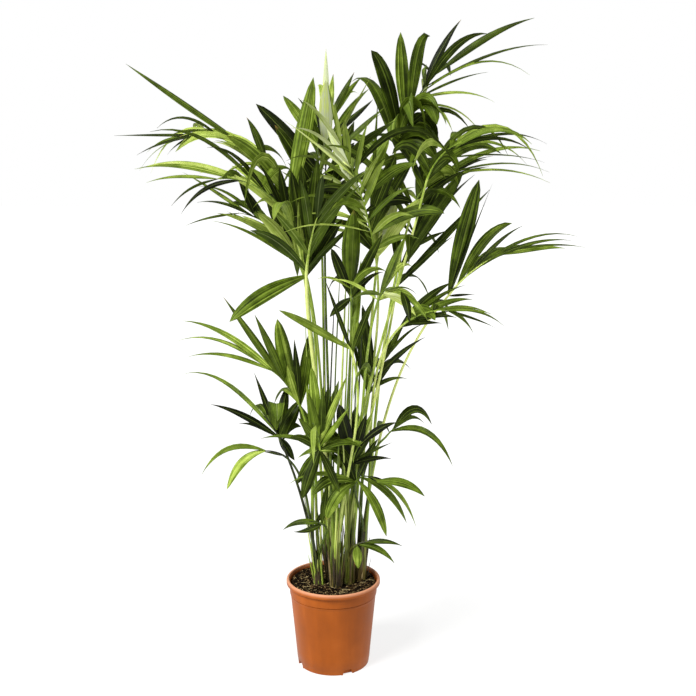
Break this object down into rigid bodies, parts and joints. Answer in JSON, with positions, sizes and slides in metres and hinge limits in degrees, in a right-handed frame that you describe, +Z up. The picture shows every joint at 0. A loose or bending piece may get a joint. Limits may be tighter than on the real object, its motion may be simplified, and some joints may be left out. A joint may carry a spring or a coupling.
{
  "type": "potted kentia palm",
  "caption": "Potted kentia palm: slender stems with long arching stalks and feathered fronds, standing in a round terracotta-coloured nursery pot filled with soil.",
  "frame": {"origin": "middle of the pot's flat underside, on the surface it stands on", "axes": "+Z up along the pot's axis, +Y away from the side that the picture shows, +X to that side's right"},
  "size_m": [1.1474, 0.6705, 1.6211],
  "materials": {
    "polypropylene": "satin, terracotta-coloured, with a fine mould grain",
    "peat": "matt crumbly potting soil of peat and bark",
    "leaf_sheath": "dry fibrous sheath, green above and brown at the foot",
    "stalk": "smooth yellow-green stalk with fine lengthwise lines",
    "leaf_blade": "satin leaf, ribbed along its length, paler below"
  },
  "bodies": {
    "root": {"pot": "polypropylene", "soil": "peat", "stem_1": "leaf_sheath", "stem_2": "leaf_sheath", "stem_3": "leaf_sheath", "stem_4": "leaf_sheath", "stem_5": "leaf_sheath", "petiole_01": "stalk", "petiole_02": "stalk", "petiole_03": "stalk", "petiole_04": "stalk", "petiole_05": "stalk", "petiole_06": "stalk", "petiole_07": "stalk", "petiole_08": "stalk", "petiole_10": "stalk", "petiole_11": "stalk", "petiole_12": "stalk", "petiole_13": "stalk", "petiole_14": "stalk", "petiole_15": "stalk", "petiole_16": "stalk", "petiole_17": "stalk", "petiole_18": "stalk", "petiole_19": "stalk", "petiole_21": "stalk", "petiole_22": "stalk", "petiole_23": "stalk", "petiole_24": "stalk", "petiole_25": "stalk", "petiole_26": "stalk", "petiole_27": "stalk", "petiole_29": "stalk", "frond_01": "leaf_blade", "frond_02": "leaf_blade", "frond_03": "leaf_blade", "frond_04": "leaf_blade", "frond_05": "leaf_blade", "frond_06": "leaf_blade", "frond_07": "leaf_blade", "frond_08": "leaf_blade", "frond_10": "leaf_blade", "frond_11": "leaf_blade", "frond_12": "leaf_blade", "frond_13": "leaf_blade", "frond_14": "leaf_blade", "frond_15": "leaf_blade", "frond_16": "leaf_blade", "frond_17": "leaf_blade", "frond_18": "leaf_blade", "frond_19": "leaf_blade", "frond_21": "leaf_blade", "frond_22": "leaf_blade", "frond_23": "leaf_blade", "frond_24": "leaf_blade", "frond_25": "leaf_blade", "frond_26": "leaf_blade", "frond_27": "leaf_blade", "frond_29": "leaf_blade"}
  },
  "joints": []
}
